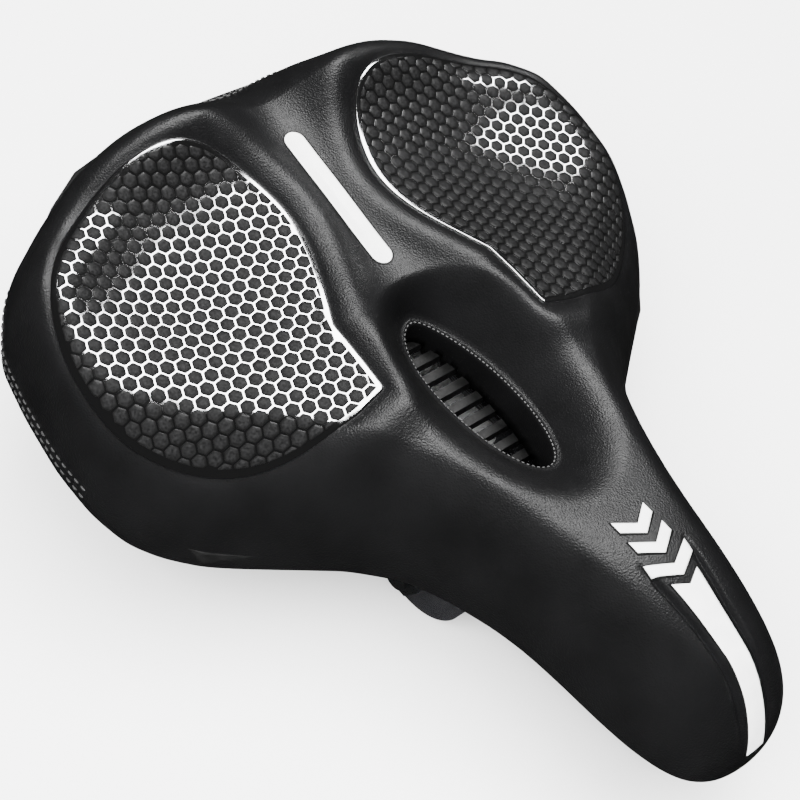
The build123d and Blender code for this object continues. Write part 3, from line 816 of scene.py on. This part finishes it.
# =============================== printed pads ===============================
def flat_pattern(side):
    """For the pad's flat pattern: directions, distances in plan and lengths along the surface."""
    turns = np.linspace(0, 2 * math.pi, FLAT_TURNS + 1)
    reach = np.linspace(0, FLAT_REACH, FLAT_REACH + 1)
    turn, far = np.meshgrid(turns, reach, indexing="ij")
    x = PATCH_MIDDLE[0] + far * np.cos(turn)
    y = side * (PATCH_MIDDLE[1] + far * np.sin(turn))
    points = drape_plan(x.ravel(), y.ravel(), 0.0).reshape(*x.shape, 3)
    steps = np.minimum(np.linalg.norm(np.diff(points, axis=1), axis=2), FLAT_STEP)
    length = np.concatenate([np.zeros((len(turns), 1)), np.cumsum(steps, 1)], 1)
    return turns, reach, length


def unfold(pattern, side, u, v):
    """Plan places of points given in the pad's flat pattern, measured along the surface."""
    turns, reach, length = pattern
    distance, turn = np.hypot(u, v), np.arctan2(v, u) % (2 * math.pi)
    place = turn / (turns[1] - turns[0])
    low = np.clip(place.astype(int), 0, len(turns) - 2)
    share = place - low
    near = np.array([np.interp(d, length[i], reach) for d, i in zip(distance, low)])
    far = np.array([np.interp(d, length[i + 1], reach) for d, i in zip(distance, low)])
    plan = near + (far - near) * share
    return PATCH_MIDDLE[0] + plan * np.cos(turn), side * (PATCH_MIDDLE[1] + plan * np.sin(turn))


def make_film(name, side):
    """The silver film under one pad's cells: a closed sheet over the cover."""
    loop = PATCHES[name]
    middle = np.array([PATCH_MIDDLE[0], side * PATCH_MIDDLE[1]])
    shares = np.r_[np.linspace(0.02, 0.985, FILM_RINGS), 1.0]
    plan = middle + (loop[None] - middle) * shares[:, None, None]
    rows, columns = plan.shape[:2]
    count = rows * columns
    lift = np.where(shares < 1, FILM_LIFT, FILM_LIFT - FILM_EDGE_DROP)
    flat = plan.reshape(-1, 2)
    top = drape_plan(flat[:, 0], flat[:, 1], np.repeat(lift, columns))
    bottom = drape_plan(flat[:, 0], flat[:, 1], SUNK)
    upper = grid_faces(rows, columns, close_columns=True)
    lower = [tuple(count + i for i in f) for f in upper]
    faces = upper + lower
    last = (rows - 1) * columns
    for c in range(columns):
        c2 = (c + 1) % columns
        faces.append((last + c, last + c2, count + last + c2, count + last + c))
    faces.append(tuple(range(columns)))
    faces.append(tuple(count + c for c in range(columns)))
    film = facing_out(make_mesh(f"pad_film_{name}", np.vstack([top, bottom]), faces, FOIL))
    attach(film, "saddle_top")
    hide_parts(f"hex_panel_{name}")


def clip_cell(corners, loop):
    """A cell's corners cut back to stay inside the film's border; None if little is left."""
    distance = distance_in(loop, corners[:, 0], corners[:, 1]) + FILM_BORDER
    if (distance <= 0).all():
        return corners
    if (distance > 0).all():
        return None
    kept = []
    for i, here in enumerate(corners):
        j = (i + 1) % len(corners)
        if distance[i] <= 0:
            kept.append(here)
        if (distance[i] <= 0) != (distance[j] <= 0):
            share = distance[i] / (distance[i] - distance[j])
            kept.append(here + share * (corners[j] - here))
    kept = np.array(kept)
    x, y = kept.T
    area = abs(np.sum(x * np.roll(y, -1) - y * np.roll(x, -1))) / 2
    return kept if area > CELL_SMALLEST_AREA else None


def soft_corners(corners):
    """A convex outline with soft corners, three points to each."""
    before, after = np.roll(corners, 1, 0), np.roll(corners, -1, 0)
    points = []
    for here, a, b in zip(corners, before, after):
        first, last = here + (a - here) * CELL_CORNER, here + (b - here) * CELL_CORNER
        points += [first, here * 0.5 + (first + last) * 0.25, last]
    return np.array(points)


def cell_centres():
    """The cells' middles in the flat pattern: rows of a turned hexagonal grid."""
    centres = []
    for row in range(-CELL_ROWS, CELL_ROWS + 1):
        for column in range(-CELL_COLUMNS, CELL_COLUMNS + 1):
            across = CELL_PITCH * (column + 0.5 * (row % 2))
            centres.append((across, CELL_PITCH * row * math.sqrt(3) / 2))
    cosine, sine = math.cos(CELL_TURN), math.sin(CELL_TURN)
    centres = np.array(centres) @ np.array([[cosine, -sine], [sine, cosine]]).T
    return centres[np.hypot(*centres.T) < CELL_REACH]


def cell_outlines(name, side):
    """The soft-cornered outline in plan of every cell on one pad."""
    pattern = flat_pattern(side)
    radius = (CELL_PITCH - CELL_GAP) / math.sqrt(3)
    angles = CELL_TURN + math.pi / 6 + math.pi / 3 * np.arange(6)
    corner = radius * np.stack([np.cos(angles), np.sin(angles)], 1)
    outlines = []
    for centre in cell_centres():
        x, y = unfold(pattern, side, *(centre + corner).T)
        kept = clip_cell(np.stack([x, y], 1), PATCHES[name])
        if kept is not None:
            outlines.append(soft_corners(kept))
    return outlines


def make_cells(name, side):
    """The raised black hexagons on one pad, each with an inked rim."""
    plans, lifts, faces, inked, start = [], [], [], [], 0
    rows = len(CELL_RINGS)
    for outline in cell_outlines(name, side):
        middle = outline.mean(0)
        columns = len(outline)
        for scale, lift in CELL_RINGS:
            plans.append(middle + (outline - middle) * scale)
            lifts.append(np.full(columns, lift))
        plans.append(np.array([middle, middle]))
        lifts.append(np.array([CELL_LIFT, CELL_FOOT]))
        faces += grid_faces(rows, columns, close_columns=True, start=start)
        last = start + (rows - 1) * columns
        top_middle = last + columns
        for c in range(columns):
            c2 = (c + 1) % columns
            faces.append((last + c, last + c2, top_middle))
            faces.append((start + c2, start + c, top_middle + 1))
        ink_count = CELL_INK_BANDS * columns
        inked += [1] * ink_count + [0] * ((rows + 1) * columns - ink_count)
        start = top_middle + 2
    plan = np.vstack(plans)
    points = drape_plan(plan[:, 0], plan[:, 1], np.concatenate(lifts))
    piece = facing_out(make_mesh(f"hex_cells_{name}", points, faces, CELL))
    piece.data.materials.append(INK)
    piece.data.polygons.foreach_set("material_index", inked)
    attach(piece, "saddle_top")


# =============================== labels ===============================
def centre_profile():
    """The cover's line on the middle plane from the hole to under the nose, and its normals."""
    column = [ring[NOSE] for ring in (roll_rings() + top_rings())]
    rolled = len(roll_rings())
    line = np.array(column[rolled:][::-1] + column[:rolled][::-1])
    line[:, 1] = 0
    run = np.gradient(line, axis=0)
    normal = unit(np.stack([-run[:, 2], np.zeros(len(line)), run[:, 0]], 1))
    along = np.r_[0, np.cumsum(np.linalg.norm(np.diff(line, axis=0), axis=1))]
    along += STRIP_START - np.interp(STRIP_START, line[:, 0], along)
    return along, line, normal


def tape(profile, s, y, lift):
    """Places of a tape laid along the nose: s is the length along the middle line, y across."""
    along, line, normal = profile
    at = np.stack([np.interp(s, along, line[:, k]) for k in range(3)], 1)
    out = unit(np.stack([np.interp(s, along, normal[:, k]) for k in range(3)], 1))
    off = 12.0
    start = at + out * off + np.stack([0 * y, y, 0 * y], 1)
    return drape(start, -out, lift)[0]


def grid_slab(place, u, v, lift):
    """A thin closed plate over the cover from a function that places grid points."""
    grid_u, grid_v = np.meshgrid(u, v, indexing="ij")
    top = place(grid_u.ravel(), grid_v.ravel(), lift).reshape(*grid_u.shape, 3)
    bottom = place(grid_u.ravel(), grid_v.ravel(), SUNK).reshape(*grid_u.shape, 3)
    return slab(top, bottom)


def print_piece(name, parts, material):
    piece = facing_out(make_mesh(name, *join_parts(parts), material))
    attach(piece, "saddle_top")
    return piece


def label_plate(margin, lift):
    """The long label across the rear middle, with rounded ends."""
    def place(u, v, height):
        length = LABEL_LENGTH / 2 + margin
        width = LABEL_WIDTH / 2 + margin
        x = length * np.sin(u * math.pi / 2)
        past = np.clip((np.abs(x) - (length - width)) / width, 0, 1)
        return drape_plan(LABEL_X + x, v * width * np.sqrt(1 - past**2 * 0.9999), height)
    return grid_slab(place, np.linspace(-1, 1, 81), np.linspace(-1, 1, 13), lift)


def chevron(start, half_width, margin, lift):
    """One chevron with its apex towards the nose."""
    def place(u, v, height):
        bar = CHEVRON_BAR + 2 * margin
        x = start - margin + u * bar + CHEVRON_DEPTH * (1 - np.abs(v))
        return drape_plan(x, v * (half_width + margin), height)
    return grid_slab(place, np.linspace(0, 1, 7), np.linspace(-1, 1, 33), lift)


def nose_tape(profile, margin, lift):
    """The strip down the nose, notched at its rear end."""
    end = profile[0][-1] - STRIP_END_GAP + margin

    def place(u, v, height):
        first = STRIP_START + STRIP_NOTCH * (1 - np.abs(v)) - margin
        s = first + u * (end - first)
        return tape(profile, s, v * (line_at(STRIP_HALF_WIDTH, s) + margin), height)
    return grid_slab(place, np.linspace(0, 1, 110), np.linspace(-1, 1, 15), lift)


def make_prints():
    white = print_piece("centre_label_plate", [label_plate(0, PRINT_LIFT)], WHITE)
    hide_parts("centre_label")
    print_piece("centre_label_outline", [label_plate(OUTLINE_MARGIN, PRINT_LIFT / 2)], INK)
    marks = list(zip(CHEVRON_STARTS, CHEVRON_HALF_WIDTHS))
    white = print_piece("chevrons", [chevron(x, w, 0, PRINT_LIFT) for x, w in marks], WHITE)
    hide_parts("chevron_marks")
    outlines = [chevron(x, w, OUTLINE_MARGIN, PRINT_LIFT / 2) for x, w in marks]
    print_piece("chevron_outlines", outlines, INK)
    profile = centre_profile()
    white = print_piece("nose_strip_plate", [nose_tape(profile, 0, PRINT_LIFT)], WHITE)
    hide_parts("nose_strip")
    print_piece("nose_strip_outline", [nose_tape(profile, OUTLINE_MARGIN, PRINT_LIFT / 2)], INK)


# =============================== stitches ===============================
def stitch_template():
    """One unit stitch along x: a round-ended thread, pulled down at its ends."""
    angles = 2 * math.pi * np.arange(STITCH_SIDES) / STITCH_SIDES
    rings = []
    for x in np.linspace(-1, 1, STITCH_RINGS):
        size = math.sqrt(max(1 - x**4, 0.03))
        y = size * np.cos(angles)
        z = size * np.sin(angles) - STITCH_PULL * x**4
        rings.append(np.stack([np.full(STITCH_SIDES, x), y, z], 1))
    points = np.vstack(rings)
    faces = grid_faces(STITCH_RINGS, STITCH_SIDES, close_columns=True)
    last = len(points) - 1
    faces += [tuple(range(STITCH_SIDES)), tuple(range(last, last - STITCH_SIDES, -1))]
    return points, faces


def make_stitches(name, places, runs, outs, length, width, material):
    """Stitches at places, along runs, standing off along outs."""
    template, template_faces = stitch_template()
    runs, outs = unit(runs), unit(outs)
    sides = np.cross(outs, runs)
    shape = template * (length / 2, width / 2, width / 2)
    points = places[:, None] + shape[None, :, :1] * runs[:, None]
    points = points + shape[None, :, 1:2] * sides[:, None] + shape[None, :, 2:] * outs[:, None]
    faces = []
    for k in range(len(places)):
        faces += [tuple(k * len(template) + i for i in f) for f in template_faces]
    piece = facing_out(make_mesh(name, points.reshape(-1, 3), faces, material))
    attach(piece, "saddle_top")
    return piece


def resample(loop, pitch):
    """A closed loop's points at about that pitch, with the directions along it."""
    closed = np.vstack([loop, loop[:1]])
    length = np.linalg.norm(np.diff(closed, axis=0), axis=1).sum()
    even = even_loop(loop, int(round(length / pitch)))
    return even, unit(np.roll(even, -1, 0) - np.roll(even, 1, 0))


def make_skirt_stitches():
    """Two rows low on the rolled edge, as far forward as the seam goes."""
    rows = [resample(roll_ring(roll_angle(height)), SKIRT_PITCH) for height in SKIRT_ROWS]
    places = np.vstack([r[0] for r in rows])
    runs = np.vstack([r[1] for r in rows])
    tail = places[:, 0] < SEAM_END_X
    places, runs = places[tail], runs[tail]
    on_surface, outs = np.empty_like(places), np.empty_like(places)
    for i, p in enumerate(places):
        hit = SURFACE.find_nearest(Vector(p * MM))
        on_surface[i], outs[i] = np.array(hit[0]) / MM, hit[1]
    runs = runs - outs * np.sum(runs * outs, 1)[:, None]
    places = on_surface + outs * SKIRT_LIFT
    stitches = make_stitches(
        "skirt_stitches", places, runs, outs, SKIRT_STITCH_LENGTH, SKIRT_STITCH_WIDTH, THREAD
    )
    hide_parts("edge_seam")


def make_hole_stitches():
    """A row on the lip of the relief hole."""
    ring = hole_ring(LIP * 0.25)
    line = np.c_[ring, drape_plan(ring[:, 0], ring[:, 1], np.zeros(AROUND))[:, 2]]
    places, runs = resample(line, HOLE_PITCH)
    outs = np.array([SURFACE.find_nearest(Vector(p * MM))[1] for p in places])
    stitches = make_stitches(
        "hole_stitches", places, runs, outs, HOLE_STITCH_LENGTH, HOLE_STITCH_WIDTH, GREY_THREAD
    )
    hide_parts("hole_trim")


# =============================== rubber springs ===============================
def make_spring(name):
    """A waisted rubber barrel with three soft rings, in the place of its CAD node."""
    low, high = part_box(f"elastomer_{name}")
    middle = (low + high) / 2 / MM
    outer = (high.x - low.x) / 2 / MM
    bottom, height = low.z / MM, (high.z - low.z) / MM
    profile = []
    for t in np.linspace(0, 1, SPRING_LEVELS):
        waist = SPRING_WAIST * outer * math.sin(math.pi * t) ** 2
        ring = SPRING_RING * outer * math.cos(6 * math.pi * t)
        near_bottom = max(0, 1 - t / SPRING_CORNER_HEIGHT)
        near_top = max(0, 1 - (1 - t) / SPRING_CORNER_HEIGHT)
        corner = SPRING_CORNER * outer * (near_bottom**2 + near_top**2)
        profile.append((outer * SPRING_BODY - waist + ring - corner, bottom + height * t))
    profile += [(SPRING_BORE, bottom + height * t) for t in (1.0, 0.5, 0.0)]
    turns = 2 * math.pi * np.arange(SPRING_SIDES) / SPRING_SIDES
    points = [
        (middle.x + r * math.cos(a), middle.y + r * math.sin(a), z) for r, z in profile for a in turns
    ]
    faces = grid_faces(len(profile), SPRING_SIDES, close_rows=True, close_columns=True)
    spring = facing_out(make_mesh(f"rubber_spring_{name}", np.array(points), faces, RUBBER))
    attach(spring, "rail_frame")
    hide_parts(f"elastomer_{name}")
    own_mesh(spring)


# =============================== finishes of the CAD nodes ===============================
FINISHES = {
    "base_shell": PLASTIC_WITH_PAINTED_SHADE, "nose_socket": PLASTIC_WITH_PAINTED_SHADE,
    "rail_left": STEEL, "rail_right": STEEL, "nose_cross_tube": ZINC,
    "rear_bracket": POWDER, "clamp_band": GLOSS,
    "inner_cheek_left": GLOSS, "inner_cheek_right": GLOSS,
    "outer_cheek_left": GLOSS, "outer_cheek_right": GLOSS,
    "clamp_stud": ZINC, "clamp_washers": ZINC, "clamp_nuts": ZINC,
    "elastomer_bolts": ZINC, "elastomer_washers": ZINC,
}


def finish_nodes():
    """A finish on every CAD node; those not listed are replaced by pieces, and get leather."""
    for name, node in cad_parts.items():
        node.data.materials.clear()
        node.data.materials.append(FINISHES.get(name, LEATHER))
        for polygon in node.data.polygons:
            polygon.material_index = 0


make_camera()
make_floor()
make_lights()
for pad_name, pad_side in (("left", 1), ("right", -1)):
    make_film(pad_name, pad_side)
    make_cells(pad_name, pad_side)
    make_spring(pad_name)
make_prints()
make_skirt_stitches()
make_hole_stitches()
finish_nodes()
